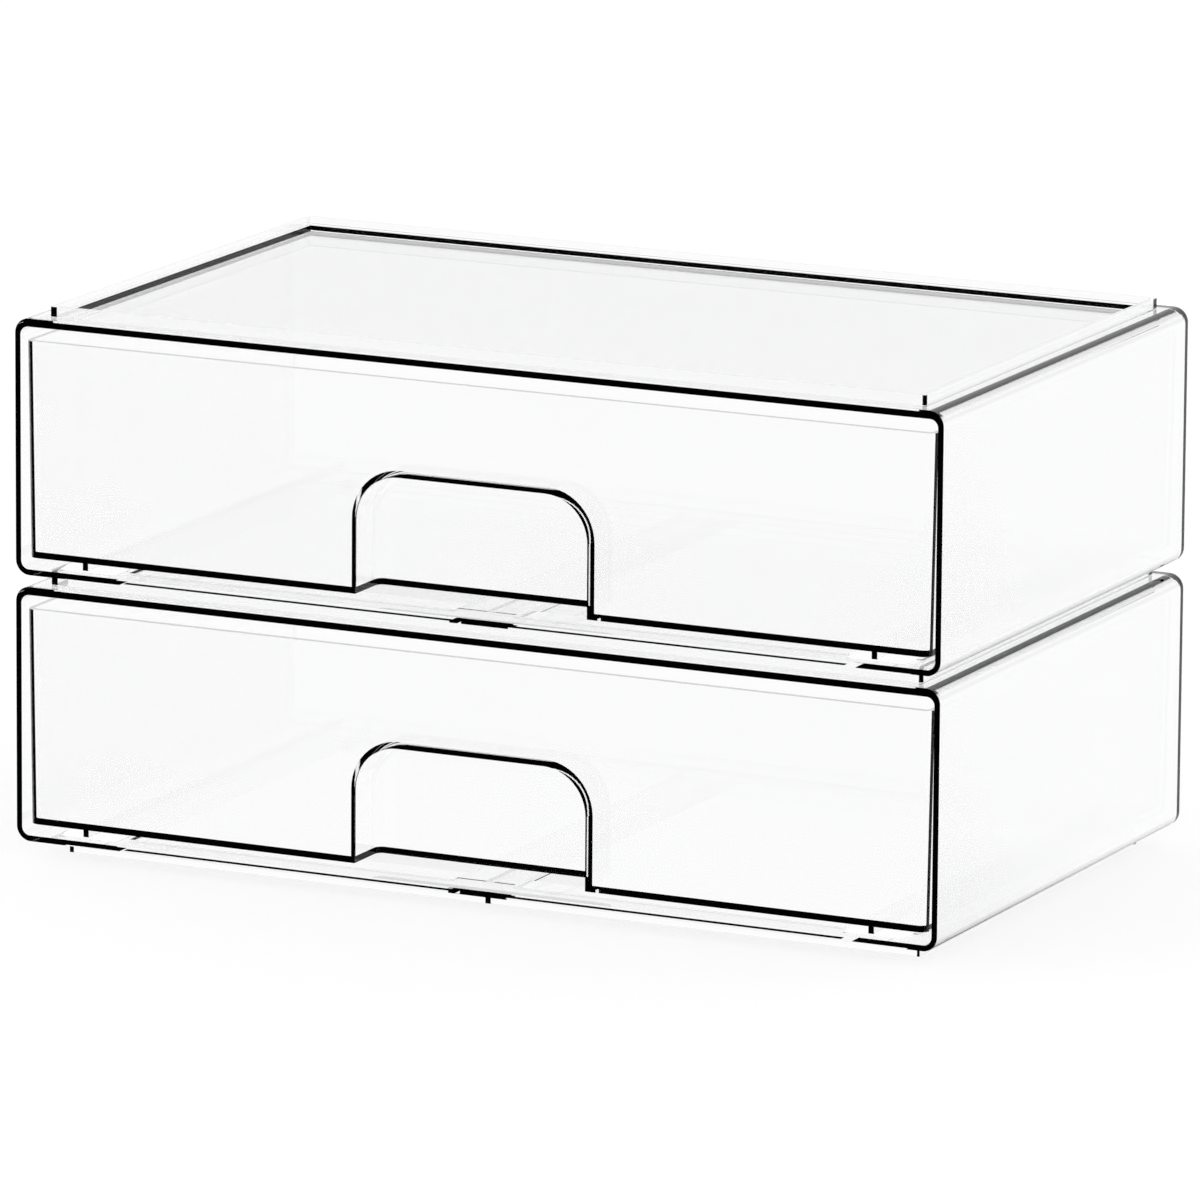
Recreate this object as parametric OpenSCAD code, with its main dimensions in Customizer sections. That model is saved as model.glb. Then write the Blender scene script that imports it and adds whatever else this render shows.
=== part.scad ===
// Stack of two clear drawers: two identical moulded casings that nest on each other,
// each with a pull-out tray. Millimetres. The stack stands on z = 0 and faces -Y.

/* [Casing] */
// Outer width of a casing
casing_w = 305; // [200:1:450]
// Outer depth of a casing, from the open front to the back wall
casing_d = 180.4; // [120:1:320]
// Outer height of a casing, without its rim and foot
casing_h = 78.6; // [60:0.1:200]
// Thickness of the casing's side and back walls
casing_wall = 1.8; // [1.2:0.1:3.5]
// Thickness of the casing's floor
casing_floor_t = 1.8; // [1.2:0.1:3.5]
// Thickness of the casing's top wall at the edges
casing_top_t = 2.5; // [1.5:0.1:4]
// Outer radius of the casing's four long edges
casing_edge_r = 4.6; // [3:0.1:12]
// Inner radius of the casing's four long edges
casing_inner_r = 2.6; // [1:0.1:10]

/* [Nesting rim and foot] */
// Height of the rim on top of a casing
rim_h = 3; // [1:0.1:8]
// Thickness of the rim's wall
rim_wall = 1.6; // [1:0.1:4]
// Distance from the casing's side faces to the rim
rim_side_inset = 8.5; // [4:0.1:30]
// Distance from the casing's front face to the rim
rim_front_inset = 6.2; // [4:0.1:30]
// Distance from the casing's back face to the rim
rim_back_inset = 5.4; // [1:0.1:30]
// Radius of the rim's upright corners
rim_corner_r = 0.8; // [0.6:0.1:10]
// Depth to which the top panel is sunk inside the rim
panel_sink = 1.6; // [0.5:0.1:2]
// Outer radius of the edges round the casing's back
casing_back_r = 2; // [1:0.1:2.2]
// Inner radius of the edges round the casing's back
casing_back_inner_r = 1; // [0.4:0.1:1.2]
// Thickness of the sunk top panel
panel_t = 1.3; // [1:0.1:3]
// Clear height between the faces of two stacked casings
stack_gap = 3.6; // [2:0.1:10]
// Clearance at the sides and back between a foot and the rim below it
nest_clearance = 1.1; // [0.2:0.1:2]
// Distance from the inside of the rim's front to the foot's front
foot_front_clearance = 4.6; // [0.5:0.1:8]
// Thickness of the foot's wall
foot_wall = 1.1; // [0.8:0.1:4]
// Thickness of the foot's middle web
foot_web = 1.8; // [1:0.1:4]

/* [Casing floor] */
// Half width of the spine between the two floor windows
spine_half_w = 9.7; // [5:0.1:30]
// Distance from the casing's side faces to the floor windows
window_side_inset = 33.5; // [26:0.1:60]
// Depth of the solid lip at the front of the floor
lip_d = 9.5; // [6:0.1:20]
// Width of the thin ledge between the lip and the window
ledge_d = 12.5; // [4:0.1:30]
// Thickness of that ledge
ledge_t = 0.9; // [0.6:0.1:1.5]
// Depth of the solid band at the back of the floor
back_band_d = 9.5; // [6:0.1:40]
// Width of the glide ramp under each runner
pad_w = 19; // [8:0.1:24]
// Height of the glide ramps above the floor
pad_h = 0.8; // [0.4:0.1:2]
// Depth of the glide ramps
pad_d = 9; // [5:0.1:20]
// Distance from the front face to the glide ramps
pad_front_inset = 3.5; // [2:0.1:10]

/* [Tray] */
// Clearance at the sides between a tray's top and the casing
tray_side_clearance = 1.2; // [0.6:0.1:4]
// Slant of the tray's side walls, in degrees
tray_draft = 0.8; // [0:0.1:2]
// Clearance under the casing's ceiling
tray_top_clearance = 4; // [1:0.1:15]
// Clearance between the tray's back and the casing's back wall
tray_back_clearance = 2; // [0.5:0.1:6]
// Distance by which the tray's face stands back from the casing's front
tray_front_inset = 0.4; // [0:0.1:3]
// Height of the tray's underside above the casing floor
tray_lift = 3.6; // [2.5:0.1:8]
// Thickness of the tray's front panel
tray_front_t = 2; // [1.2:0.1:4]
// Thickness of the tray's side and back walls
tray_wall = 1.7; // [1.2:0.1:3]
// Thickness of the tray's floor
tray_floor_t = 1.7; // [1.2:0.1:3]
// Radius of the tray's upright corners
tray_corner_r = 3; // [1:0.1:6]

/* [Finger pull] */
// Width of the finger pull
pull_w = 76.4; // [50:0.5:110]
// Height of the finger pull above the tray's underside
pull_h = 36.5; // [24:0.5:50]
// Depth of the finger pull behind the front panel's face
pull_d = 15.6; // [10:0.5:30]
// Radius of the finger pull's upper corners
pull_r = 14; // [6:0.5:20]
// Thickness of the wall round the finger pull
pull_wall = 1.8; // [1.2:0.1:3]
// Radius of the finger pull's rear edges
pull_edge_r = 2.2; // [0.4:0.1:4]

/* [Runners and stops] */
// Distance from the casing's side faces to the middle of a runner
runner_inset = 22.3; // [16:0.1:40]
// Width of a runner
runner_w = 1.8; // [1:0.1:4]
// Distance from the tray's face to a runner's front end
runner_front_inset = 2.2; // [1:0.1:10]
// Length of the heel at a runner's rear end
heel_l = 8; // [4:0.1:20]
// Running clearance under runners and heels
glide_clearance = 0.05; // [0.02:0.01:0.3]
// Width of a stop tab
stop_w = 6; // [3:0.1:12]
// Length of a stop tab
stop_l = 20; // [6:0.5:40]
// Distance from the tray's back face to a stop tab
stop_back_inset = 12; // [6:0.5:40]
// Clearance between a stop tab and the window beside it
stop_side_clearance = 3; // [1:0.1:10]
// Clearance between a stop tab and the ledge below it
stop_clearance = 0.3; // [0.1:0.05:1]

/* [Hidden] */
$fn = 64;
EPS = 0.01;
CLEAR = [0.88, 0.91, 0.93, 0.4];
CLEAR_TRAY = [0.93, 0.94, 0.95, 0.4];

rim_w = casing_w - 2 * rim_side_inset;
rim_d = casing_d - rim_front_inset - rim_back_inset;
rim_inner_r = max(rim_corner_r - rim_wall, 0.4);
rim_mid = (casing_d + rim_front_inset - rim_back_inset) / 2;
foot_w = rim_w - 2 * (rim_wall + nest_clearance);
foot_front = rim_front_inset + rim_wall + foot_front_clearance;
foot_back = casing_d - rim_back_inset - rim_wall - nest_clearance;
foot_d = foot_back - foot_front;
foot_corner_r = max(rim_corner_r - 0.3, 0.5);
foot_h = stack_gap + panel_sink;
back_r = min(casing_back_r, 0.48 * casing_edge_r);
back_inner_r = min(casing_back_inner_r, 0.48 * casing_inner_r);
pitch = casing_h + stack_gap;

floor_top = casing_floor_t;
ceiling_edge = casing_h - casing_top_t;
ceiling = casing_h - max(casing_top_t, panel_sink + panel_t);
window_x = casing_w / 2 - window_side_inset;
window_front = lip_d + ledge_d;
window_back = casing_d - casing_wall - back_band_d;
runner_x = casing_w / 2 - runner_inset;

tray_under = floor_top + tray_lift;
tray_rim = ceiling - tray_top_clearance;
tray_h = tray_rim - tray_under;
tray_top_w = casing_w - 2 * casing_wall - 2 * tray_side_clearance;
tray_inner_r = max(tray_corner_r - tray_wall, 0.4);
tray_back = casing_d - casing_wall - tray_back_clearance;
tray_d = tray_back - tray_front_inset;

// Rectangle with round corners, centred on the origin
module round_rect(w, h, r) {
    square([w - 2 * r, h], center = true);
    square([w, h - 2 * r], center = true);
    for (x = [-1, 1], y = [-1, 1])
        translate([x * (w / 2 - r), y * (h / 2 - r)]) circle(r);
}

// Extrudes a front-view outline, drawn in X and Z, from one depth to another
module extrude_back(from, to) {
    translate([0, to, 0]) rotate([90, 0, 0]) linear_extrude(to - from) children();
}

// Block with a rounded outline in X and Z and round rear edges, standing on z = base
module tub_block(w, h, base, from, to, r, edge_r) {
    rim_y = to - edge_r;
    translate([0, 0, base + h / 2]) {
        extrude_back(from, rim_y) round_rect(w, h, r);
        extrude_back(rim_y - edge_r, to)
            round_rect(w - 2 * edge_r, h - 2 * edge_r, max(r - edge_r, 0.01));
        for (side = [0, 1]) mirror([side, 0, 0]) {
            translate([w / 2 - edge_r, rim_y, 0])
                cylinder(r = edge_r, h = h - 2 * r, center = true);
            for (flip = [0, 1]) mirror([0, 0, flip])
                translate([w / 2 - r, rim_y, h / 2 - r]) rotate([90, 0, 0])
                    rotate_extrude(angle = 90) translate([r - edge_r, 0]) circle(edge_r);
        }
        for (flip = [0, 1]) mirror([0, 0, flip])
            translate([0, rim_y, h / 2 - edge_r]) rotate([0, 90, 0])
                cylinder(r = edge_r, h = w - 2 * r, center = true);
    }
}

// Upright rounded frame around a middle depth, used for the rim and the foot
module nest_frame(w, d, mid, wall, r, z, h) {
    translate([0, mid, z]) linear_extrude(h) difference() {
        round_rect(w, d, r);
        round_rect(w - 2 * wall, d - 2 * wall, rim_inner_r);
    }
}

// Window between the spine and one side band, with its front ledge
module floor_window() {
    translate([spine_half_w, window_front, -EPS])
        cube([window_x - spine_half_w, window_back - window_front, floor_top + 2 * EPS]);
    translate([spine_half_w, lip_d, ledge_t])
        cube([window_x - spine_half_w, window_back - lip_d, floor_top]);
}

// One-piece casing: sleeve, back wall, lattice floor, rim, foot and glide pads
module casing() {
    difference() {
        union() {
            tub_block(casing_w, casing_h, 0, 0, casing_d, casing_edge_r, back_r);
            nest_frame(rim_w, rim_d, rim_mid, rim_wall, rim_corner_r,
                casing_h - casing_top_t / 2, rim_h + casing_top_t / 2);
        }
        tub_block(casing_w - 2 * casing_wall, ceiling_edge - floor_top, floor_top, -1,
            casing_d - casing_wall, casing_inner_r, back_inner_r);
        for (side = [0, 1]) mirror([side, 0, 0]) floor_window();
        translate([0, rim_mid, casing_h - panel_sink]) linear_extrude(rim_h + panel_sink + 1)
                round_rect(rim_w - 2 * rim_wall, rim_d - 2 * rim_wall, rim_inner_r);
    }
    translate([0, rim_mid, casing_h - panel_sink - panel_t])
        linear_extrude(panel_t) round_rect(rim_w - rim_wall, rim_d - rim_wall, rim_inner_r);
    nest_frame(foot_w, foot_d, (foot_front + foot_back) / 2, foot_wall, foot_corner_r,
        -foot_h, foot_h + EPS);
    translate([-foot_web / 2, foot_front + foot_wall / 2, -foot_h])
        cube([foot_web, foot_d - foot_wall, foot_h + EPS]);
    for (side = [-1, 1]) glide_ramp(side);
}

// Low ramp on the casing's floor that a runner glides over
module glide_ramp(side) {
    pad_back = pad_front_inset + pad_d;
    translate([side * runner_x - pad_w / 2, 0, 0]) rotate([90, 0, 90]) linear_extrude(pad_w)
        polygon([[pad_front_inset, floor_top - EPS], [pad_back, floor_top - EPS],
            [pad_back, floor_top + pad_h], [pad_back - pad_d / 3, floor_top + pad_h],
            [pad_front_inset, floor_top]]);
}

// Tapered prism between two side slants: half width at the rim, then depths and heights
module slant_prism(half_top, front, back, z0, z1) {
    half_bottom = half_top - (z1 - z0) * tan(tray_draft);
    extrude_back(front, back)
        polygon([[-half_bottom, z0], [half_bottom, z0], [half_top, z1], [-half_top, z1]]);
}

// Slanted block of the tray with round upright corners
module tray_block(half_top, front, back, z0, z1, r) {
    post = r / cos(tray_draft);
    slant_prism(half_top, front + r, back - r, z0, z1);
    slant_prism(half_top - post, front, back, z0, z1);
    intersection() {
        for (side = [-1, 1], y = [front + r, back - r])
            translate([side * (half_top - post), y, z1]) rotate([0, side * tray_draft, 0])
                cylinder(r = r, h = 3 * (z1 - z0), center = true);
        translate([-casing_w, 0, z0]) cube([2 * casing_w, casing_d, z1 - z0]);
    }
}

// Arch outline of the finger pull, drawn in X and Z from the tray's underside
module pull_outline(grow) {
    w = pull_w + 2 * grow;
    h = pull_h + grow;
    r = pull_r + grow;
    translate([0, (h - r) / 2]) square([w, h - r], center = true);
    translate([0, h / 2]) square([w - 2 * r, h], center = true);
    for (x = [-1, 1]) translate([x * (w / 2 - r), h - r]) circle(r);
}

// Arch-shaped block with round rear edges, for the finger pull and the hood round it
module pull_block(grow, from, to, edge_r) {
    w = pull_w + 2 * grow;
    h = pull_h + grow;
    r = pull_r + grow;
    rim_y = to - edge_r;
    translate([0, 0, tray_under]) {
        extrude_back(from, rim_y) pull_outline(grow);
        extrude_back(rim_y - edge_r, to) pull_outline(grow - edge_r);
        translate([0, rim_y, h - edge_r]) rotate([0, 90, 0])
            cylinder(r = edge_r, h = w - 2 * r, center = true);
        for (side = [0, 1]) mirror([side, 0, 0]) {
            translate([w / 2 - edge_r, rim_y, 0]) cylinder(r = edge_r, h = h - r);
            translate([w / 2 - r, rim_y, h - r]) rotate([90, 0, 0])
                rotate_extrude(angle = 90) translate([r - edge_r, 0]) circle(edge_r);
        }
    }
}

// One-piece tray: open box with a finger pull, runners, heels and stop tabs
module tray() {
    front = tray_front_inset;
    difference() {
        union() {
            difference() {
                tray_block(tray_top_w / 2, front, tray_back, tray_under, tray_rim,
                    tray_corner_r);
                tray_block(tray_top_w / 2 - tray_wall, front + tray_front_t,
                    tray_back - tray_wall, tray_under + tray_floor_t, tray_rim + 1,
                    tray_inner_r);
            }
            pull_block(pull_wall, front + tray_front_t / 2, front + pull_d + pull_wall,
                pull_edge_r + pull_wall);
        }
        translate([0, 0, -EPS]) pull_block(0, front - 1, front + pull_d, pull_edge_r);
    }
    for (side = [-1, 1]) {
        runner_front = front + runner_front_inset;
        runner_under = floor_top + pad_h + glide_clearance;
        translate([side * runner_x - runner_w / 2, runner_front, runner_under])
            cube([runner_w, tray_back - runner_front - tray_wall, tray_under - runner_under + EPS]);
        heel_under = floor_top + glide_clearance;
        translate([side * runner_x - runner_w / 2, tray_back - tray_wall - heel_l, heel_under])
            cube([runner_w, heel_l, tray_under - heel_under + EPS]);
        stop_under = ledge_t + stop_clearance;
        stop_x = window_x - stop_side_clearance - stop_w / 2;
        translate([side * stop_x - stop_w / 2, tray_back - stop_back_inset - stop_l, stop_under])
            cube([stop_w, stop_l, tray_under - stop_under + EPS]);
    }
}

// Puts one level of the stack in its place
module level(number) {
    translate([0, -casing_d / 2, foot_h + number * pitch]) children();
}

module lower_casing() color(CLEAR) level(0) casing();
module lower_tray() color(CLEAR_TRAY) level(0) tray();
module upper_casing() color(CLEAR) level(1) casing();
module upper_tray() color(CLEAR_TRAY) level(1) tray();

lower_casing();
lower_tray();
upper_casing();
upper_tray();
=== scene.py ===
"""Looks of the clear drawer stack: clear plastic, a white studio and the camera.

Lengths are in metres. Heights in a level count from the underside of its casing's floor.
"""

import math

import bpy
from mathutils import Matrix, Vector

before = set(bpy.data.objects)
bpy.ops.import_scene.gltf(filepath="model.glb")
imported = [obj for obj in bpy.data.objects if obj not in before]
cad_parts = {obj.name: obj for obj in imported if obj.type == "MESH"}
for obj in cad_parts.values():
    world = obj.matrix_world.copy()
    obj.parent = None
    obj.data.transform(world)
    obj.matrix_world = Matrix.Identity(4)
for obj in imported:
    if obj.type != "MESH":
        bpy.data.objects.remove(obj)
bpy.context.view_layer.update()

DEPTH = 0.1804  # a casing's depth, front face to back face
FOOT = 0.0052  # height of the foot under a casing
PITCH = 0.0822  # height of one level

# Heights in a level
FLOOR_ZONE = (-0.0019, 0.0019)  # the casing's floor, with its lip and ledge
LEDGE_TOP = 0.0009  # the thin ledge behind the lip
RAMP_ZONE = (0.00185, 0.0028)  # the glide ramps on the floor
TOP_ZONE = (0.0754, 0.0818)  # top wall and rim
PANEL_TOP = 0.0769  # just under the upper face of the sunk panel
REAR_ROUND = (0.0764, 0.0787)  # the top's round rear edge
SIDE_ROUND = (0.0745, 0.0787)  # its round side edges
BRIM = {"casing": 0.0816, "tray": 0.0717}  # tops of the rim and of the tray's walls
SKIN = 0.00005  # how far from its height a flat face is still that face

# Places from front to back, and to the left and right of the middle
FRONT_CORNER = -0.0850  # the casing's front corners end here
LIP_STEP = -0.0807  # the step behind the floor's lip
FRONT_ZONE = -0.0675  # in front of this the casing's floor is lip and ledge
RIM_REAR = 0.0825  # the rim's rear wall lies behind this
REAR_EDGE = 0.0886  # the inside of the top's rear edge lies behind this
RIM_SIDE = 0.1405  # the rim's side walls lie outside this
SIDE_EDGE = 0.1479  # the insides of the top's side edges lie outside this
RAMP_REACH = 0.142  # the ramps end here
LEDGE_REACH = (0.0112, 0.1215)  # the ledge runs from the spine to here

# How light is treated
LAYERS = 2  # surfaces that refract before the plastic mostly veils
LAYERS_EDGE = 4  # and before it does at the rim's side and rear walls
LAYERS_MOST = 6  # surfaces that refract before it only veils
VEIL = 0.97  # how much of the plastic behind the first walls only veils
SOFT = {"casing": 0.85, "tray": 0.55}  # and how much of it does on the brims
LEDGE_SHADE = 0.0035  # how far behind the step the ledge gets a painted dark line
SLANT = 0.7  # Layer Weight's Facing above this is light at a slant
SQUARE = 0.12  # and below this, light straight on
NEARBY = 0.0065  # light from closer than this passes the side edges

TINTS = {"casing": (0.985, 0.988, 0.990), "tray": (0.988, 0.990, 0.992)}
THIN_TINT = 0.994  # the tint's share where the melt lies thinner
SHINE = (0.004, 0.02)  # least and most roughness
WHITE = (1, 1, 1)
DARK = (0.06, 0.06, 0.06)  # what polished faces reflect from the camera's side

scene = bpy.context.scene


def node(tree, kind, at, **values):
    """Adds a shader node and sets its properties and its unlinked inputs."""
    made = tree.nodes.new(kind)
    made.location = at
    for key, value in values.items():
        if key.startswith("in_"):
            made.inputs[key[3:].replace("_", " ")].default_value = value
        else:
            setattr(made, key, value)
    return made


def ramp(tree, at, source, stops):
    """Adds a colour ramp, one colour for each place in stops."""
    made = node(tree, "ShaderNodeValToRGB", at)
    points = made.color_ramp.elements
    while len(points) < len(stops):
        points.new(0.5)
    for point, (where, value) in zip(points, stops):
        point.position = where
        point.color = (*value, 1)
    tree.links.new(source, made.inputs[0])
    return made.outputs[0]


def mixed(tree, at, share, first, second):
    """Adds a mix of two shaders."""
    made = node(tree, "ShaderNodeMixShader", at)
    for socket, source in zip(made.inputs, (share, first, second)):
        tree.links.new(source, socket)
    return made.outputs[0]


class Masks:
    """Math nodes of one tree. Most give 0 or 1, and so combine as no and yes do."""

    def __init__(self, tree):
        self.tree = tree
        self.count = 0

    def math(self, operation, *values):
        row, column = divmod(self.count, 8)
        self.count += 1
        made = node(self.tree, "ShaderNodeMath", (-2000 + 170 * column, 1600 - 180 * row),
                    operation=operation)
        for socket, value in zip(made.inputs, values):
            if isinstance(value, (int, float)):
                socket.default_value = value
            else:
                self.tree.links.new(value, socket)
        return made.outputs[0]

    def over(self, value, limit):
        return self.math("GREATER_THAN", value, limit)

    def under(self, value, limit):
        return self.math("LESS_THAN", value, limit)

    def within(self, value, lowest, highest):
        return self.math("COMPARE", value, (lowest + highest) / 2, (highest - lowest) / 2)

    def face(self, value, height):
        return self.within(value, height - SKIN, height + SKIN)

    def both(self, first, *others):
        for other in others:
            first = self.math("MULTIPLY", first, other)
        return first

    def either(self, first, *others):
        for other in others:
            first = self.math("MAXIMUM", first, other)
        return first


def plastic_masks(tree, kind, base, place, facing):
    """How much of the plastic is a nearly clear film, and where a casing gets painted black, in
    place of light trapped inside it.

    A surface counts as crossed whether the light was refracted there or passed a film.
    """
    masks = Masks(tree)
    rays = node(tree, "ShaderNodeLightPath", (-2300, 1200))
    faces = node(tree, "ShaderNodeNewGeometry", (-2300, 800))
    split = node(tree, "ShaderNodeSeparateXYZ", (-2300, 400))
    tree.links.new(place, split.inputs[0])
    aside = masks.math("ABSOLUTE", split.outputs[0])
    along = split.outputs[1]
    level = masks.math("SUBTRACT", split.outputs[2], base)
    refracted = rays.outputs["Transmission Depth"]
    crossed = masks.math("ADD", refracted, rays.outputs["Transparent Depth"])

    # behind the first walls the plastic mostly veils what is seen
    top = masks.within(level, *TOP_ZONE)
    outer = masks.over(aside, RIM_SIDE)
    walls = masks.both(top, masks.either(outer, masks.over(along, RIM_REAR)))
    spared = masks.both(walls, masks.under(crossed, LAYERS_EDGE - 0.5))
    film = masks.both(masks.over(crossed, LAYERS - 0.5), masks.math("SUBTRACT", 1, spared), VEIL)
    film = masks.either(film, masks.over(crossed, LAYERS_MOST - 0.5))
    # the tops of the tray's walls and of the casing's rim are soft
    film = masks.either(film, masks.both(masks.face(level, BRIM[kind]), SOFT[kind]))
    # light that went in through a film comes out through one, and diffuse light meets only film
    unbent = masks.both(faces.outputs["Backfacing"], masks.under(refracted, 0.5))
    film = masks.either(film, unbent, rays.outputs["Is Diffuse Ray"])
    if kind == "tray":
        return film, None

    # the glide ramps only veil, and so does the ledge to light that has crossed a surface
    front = masks.under(along, FRONT_ZONE)
    ramps = masks.both(masks.within(level, *RAMP_ZONE), front, masks.under(aside, RAMP_REACH))
    ledge = masks.both(masks.within(level, *FLOOR_ZONE), front, masks.over(along, LIP_STEP))
    ledge = masks.both(ledge, masks.within(aside, *LEDGE_REACH), masks.over(crossed, 0.5))
    film = masks.either(film, ramps, ledge)

    # painted black: a line on top of the ledge, close behind the step, where mirrored light
    # would end
    mirrored = masks.over(rays.outputs["Is Glossy Ray"], rays.outputs["Is Transmission Ray"])
    strip = masks.within(along, LIP_STEP, LIP_STEP + LEDGE_SHADE)
    painted_black = masks.both(strip, masks.face(level, LEDGE_TOP), mirrored)
    # painted black also where light that runs along inside the top wall would end
    if base > FOOT:  # the upper foot's underside lies on the lower casing's panel
        top = masks.either(top, masks.under(level, 2 * SKIN - FOOT))
    once = masks.within(crossed, 0.9, 1.1)
    trapped = masks.either(
        masks.over(facing, SLANT),
        masks.under(facing, SQUARE),
        masks.under(level, PANEL_TOP),
        masks.both(outer, masks.under(along, FRONT_CORNER)),
    )
    painted_black = masks.either(painted_black, masks.both(once, mirrored, top, trapped))
    # and painted black on the top's round rear and side edges, where light meets them from
    # inside
    rear = masks.both(once, masks.within(level, *REAR_ROUND), masks.over(along, REAR_EDGE))
    side = masks.both(once, masks.within(level, *SIDE_ROUND), masks.over(aside, SIDE_EDGE))
    side = masks.both(side, masks.over(rays.outputs["Ray Length"], NEARBY))
    return film, masks.either(painted_black, rear, side)


def clear_plastic(name, kind, base, seed):
    """Clear moulded plastic: polished, faintly tinted, a film behind its first walls, and
    painted black lines on the casings.
    """
    material = bpy.data.materials.new(name)
    material.use_nodes = True
    tree = material.node_tree
    tree.nodes.clear()
    link = tree.links.new
    out = node(tree, "ShaderNodeOutputMaterial", (820, 0))
    body = node(tree, "ShaderNodeBsdfPrincipled", (300, 0), in_IOR=1.49,
                in_Transmission_Weight=1.0, in_Specular_Tint=(0.25, 0.25, 0.25, 1))
    place = node(tree, "ShaderNodeTexCoord", (-2500, 0)).outputs["Object"]
    facing = node(tree, "ShaderNodeLayerWeight", (-450, 420), in_Blend=0.5).outputs["Facing"]
    film, painted_black = plastic_masks(tree, kind, base, place, facing)

    # a film is a little darker where it is seen edge on
    shade = ramp(tree, (-200, 460), facing,
                 [(0.0, (0.997,) * 3), (0.75, (0.995,) * 3), (1.0, (0.98,) * 3)])
    veil = node(tree, "ShaderNodeBsdfTransparent", (100, 420))
    link(shade, veil.inputs["Color"])
    looks = mixed(tree, (480, 100), film, body.outputs[0], veil.outputs[0])
    # painted black lines: a black diffuse mixed in where light trapped in the casing would go
    # dark
    if painted_black:
        black_paint = node(tree, "ShaderNodeBsdfDiffuse", (480, -200), in_Color=(0, 0, 0, 1))
        looks = mixed(tree, (640, 0), painted_black, looks, black_paint.outputs[0])
    link(looks, out.inputs[0])

    shift = node(tree, "ShaderNodeMapping", (-700, 0))
    shift.inputs["Location"].default_value = (0.37 * seed, 0.11 * seed, 0.23 * seed)
    link(place, shift.inputs["Vector"])
    # tint: thicker and thinner melt leaves clouds some centimetres across
    cloud = node(tree, "ShaderNodeTexNoise", (-450, 200), in_Scale=22.0, in_Detail=2.0)
    link(shift.outputs[0], cloud.inputs["Vector"])
    thin = tuple(THIN_TINT * part for part in TINTS[kind])
    tint = ramp(tree, (-200, 200), cloud.outputs[0], [(0.3, thin), (0.7, TINTS[kind])])
    link(tint, body.inputs["Base Color"])
    # polish: a hair less gloss in patches that have been wiped and handled
    wipe = node(tree, "ShaderNodeTexNoise", (-450, -80), in_Scale=60.0, in_Detail=4.0)
    link(shift.outputs[0], wipe.inputs["Vector"])
    gloss = node(tree, "ShaderNodeMapRange", (-200, -80), in_To_Min=SHINE[0], in_To_Max=SHINE[1])
    link(wipe.outputs[0], gloss.inputs["Value"])
    link(gloss.outputs[0], body.inputs["Roughness"])
    return material


def sweep(tree, space, reach, stops):
    """White behind the object, dark on the camera's side, for what polished faces reflect."""
    where = node(tree, "ShaderNodeTexCoord", (-900, -340))
    split = node(tree, "ShaderNodeSeparateXYZ", (-700, -340))
    tree.links.new(where.outputs[space], split.inputs[0])
    depth = node(tree, "ShaderNodeMapRange", (-520, -340), in_From_Min=-reach, in_From_Max=reach)
    tree.links.new(split.outputs[1], depth.inputs["Value"])
    return ramp(tree, (-350, -340), depth.outputs[0], list(zip(stops, (DARK, WHITE))))


for seed, (name, piece) in enumerate(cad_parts.items()):
    level, kind = name.split("_")
    base = FOOT + (PITCH if level == "upper" else 0)
    piece.data.materials.clear()
    piece.data.materials.append(clear_plastic(name + "_plastic", kind, base, seed))

# Camera: long lens, low three-quarter view from the front right
azimuth, elevation, roll = (math.radians(v) for v in (25.85597, 12.38126, 0.40350))
back = Vector((math.sin(azimuth) * math.cos(elevation),
               -math.cos(azimuth) * math.cos(elevation),
               math.sin(elevation)))
right = (-back).cross(Vector((0, 0, 1))).normalized()
up = right.cross(-back)
x_axis = math.cos(roll) * right + math.sin(roll) * up
y_axis = math.cos(roll) * up - math.sin(roll) * right
spot = Vector((1.530594, -3.070238 - DEPTH / 2, 0.843031 + FOOT))
camera = bpy.data.objects.new("camera", bpy.data.cameras.new("camera"))
scene.collection.objects.link(camera)
camera.matrix_world = Matrix((
    (x_axis.x, y_axis.x, back.x, spot.x),
    (x_axis.y, y_axis.y, back.y, spot.y),
    (x_axis.z, y_axis.z, back.z, spot.z),
    (0, 0, 0, 1),
))
camera.data.lens = 357.05
camera.data.sensor_width = 36
camera.data.clip_end = 100
scene.camera = camera

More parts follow.
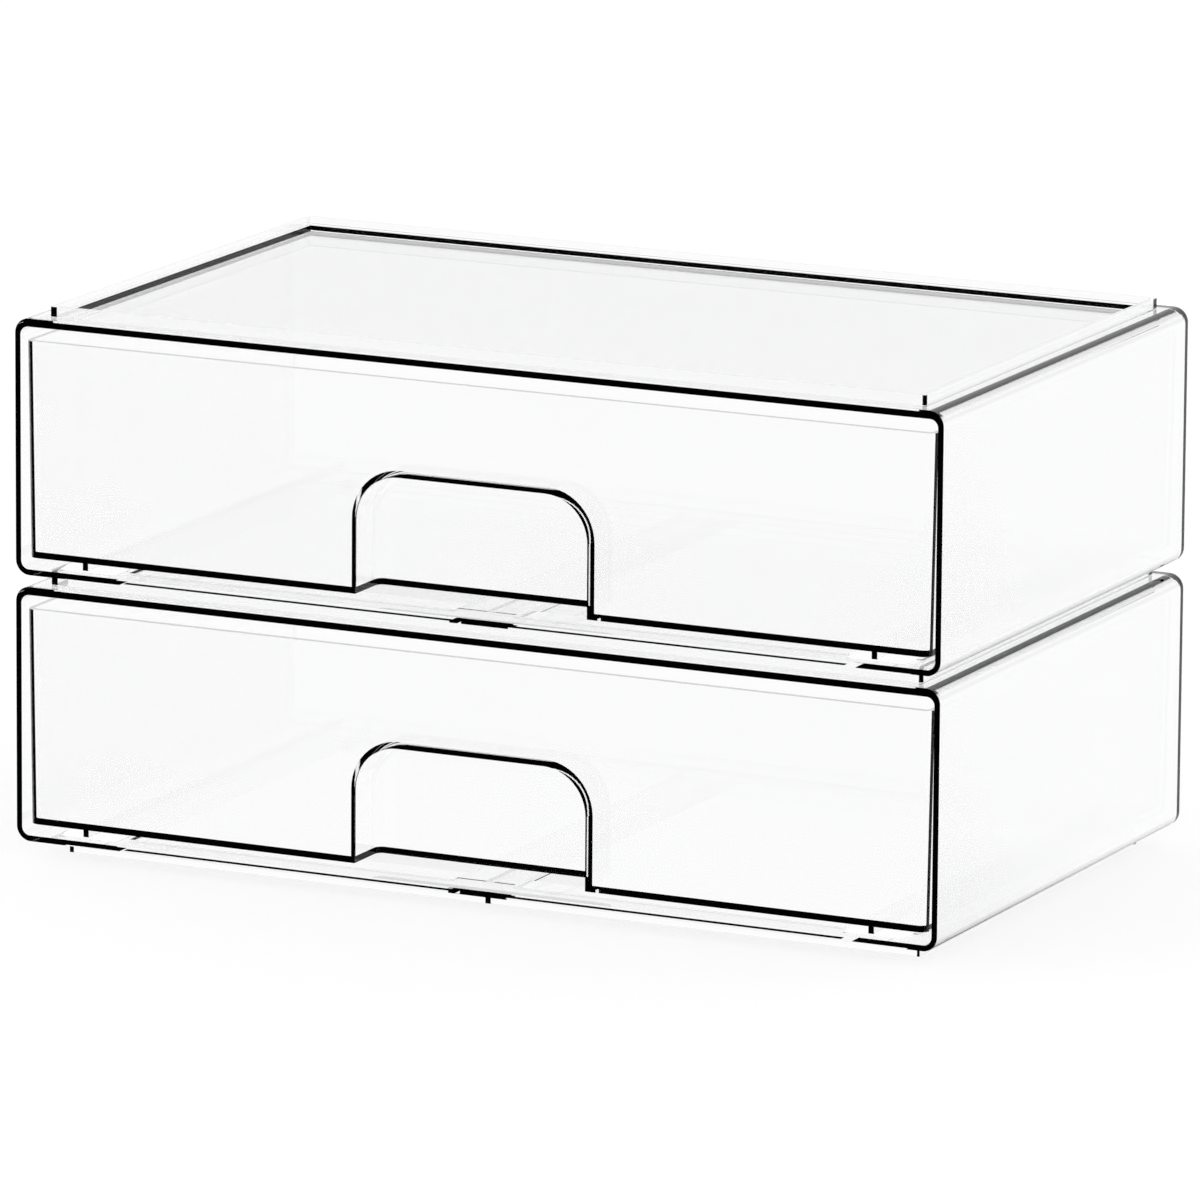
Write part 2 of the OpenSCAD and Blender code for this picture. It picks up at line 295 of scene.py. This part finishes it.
# World: white, but reflections see it dark on the camera's side
world = bpy.data.worlds.new("studio")
scene.world = world
world.use_nodes = True
tree = world.node_tree
tree.nodes.clear()
link = tree.links.new
out = node(tree, "ShaderNodeOutputWorld", (800, 0))
sky = node(tree, "ShaderNodeBackground", (600, 0))
link(sky.outputs[0], out.inputs[0])
rays = node(tree, "ShaderNodeLightPath", (-500, 300))
mirrored = node(tree, "ShaderNodeMath", (-200, 300), operation="GREATER_THAN")
link(rays.outputs["Is Glossy Ray"], mirrored.inputs[0])
link(rays.outputs["Is Transmission Ray"], mirrored.inputs[1])
mix = node(tree, "ShaderNodeMix", (300, 0), data_type="RGBA")
mix.inputs[6].default_value = (*WHITE, 1)
link(mirrored.outputs[0], mix.inputs["Factor"])
link(sweep(tree, "Generated", 1, (0.35, 0.65)), mix.inputs[7])
link(mix.outputs[2], sky.inputs["Color"])

# Floor: pale, white to the camera where no shadow falls, and white through the plastic
bpy.ops.mesh.primitive_plane_add(size=12, location=(0, 0, -0.0002))
floor = bpy.context.object
floor.name = "floor"
paint = bpy.data.materials.new("floor_paint")
paint.use_nodes = True
floor.data.materials.append(paint)
tree = paint.node_tree
tree.nodes.clear()
link = tree.links.new
out = node(tree, "ShaderNodeOutputMaterial", (600, 0))
rays = node(tree, "ShaderNodeLightPath", (-500, 300))
pale = node(tree, "ShaderNodeBsdfDiffuse", (-100, 100), in_Color=(0.8, 0.8, 0.8, 1))
lift = node(tree, "ShaderNodeEmission", (-100, -60), in_Color=(0.24, 0.24, 0.24, 1))
seen = node(tree, "ShaderNodeAddShader", (120, 60))
link(pale.outputs[0], seen.inputs[0])
link(lift.outputs[0], seen.inputs[1])
gleam = node(tree, "ShaderNodeEmission", (-100, -340))
link(sweep(tree, "Object", 0.4, (0.35, 0.6)), gleam.inputs["Color"])
looks = mixed(tree, (260, 0), rays.outputs["Is Glossy Ray"], seen.outputs[0], gleam.outputs[0])
through = node(tree, "ShaderNodeEmission", (-100, -200), in_Color=(*WHITE, 1))
looks = mixed(tree, (420, 0), rays.outputs["Is Transmission Ray"], looks, through.outputs[0])
link(looks, out.inputs[0])

scene.view_settings.view_transform = "Standard"
# few bounces, so that light trapped in the plastic goes dark
scene.cycles.max_bounces = 8
scene.cycles.transmission_bounces = 8
scene.cycles.glossy_bounces = 2
scene.cycles.transparent_max_bounces = 40
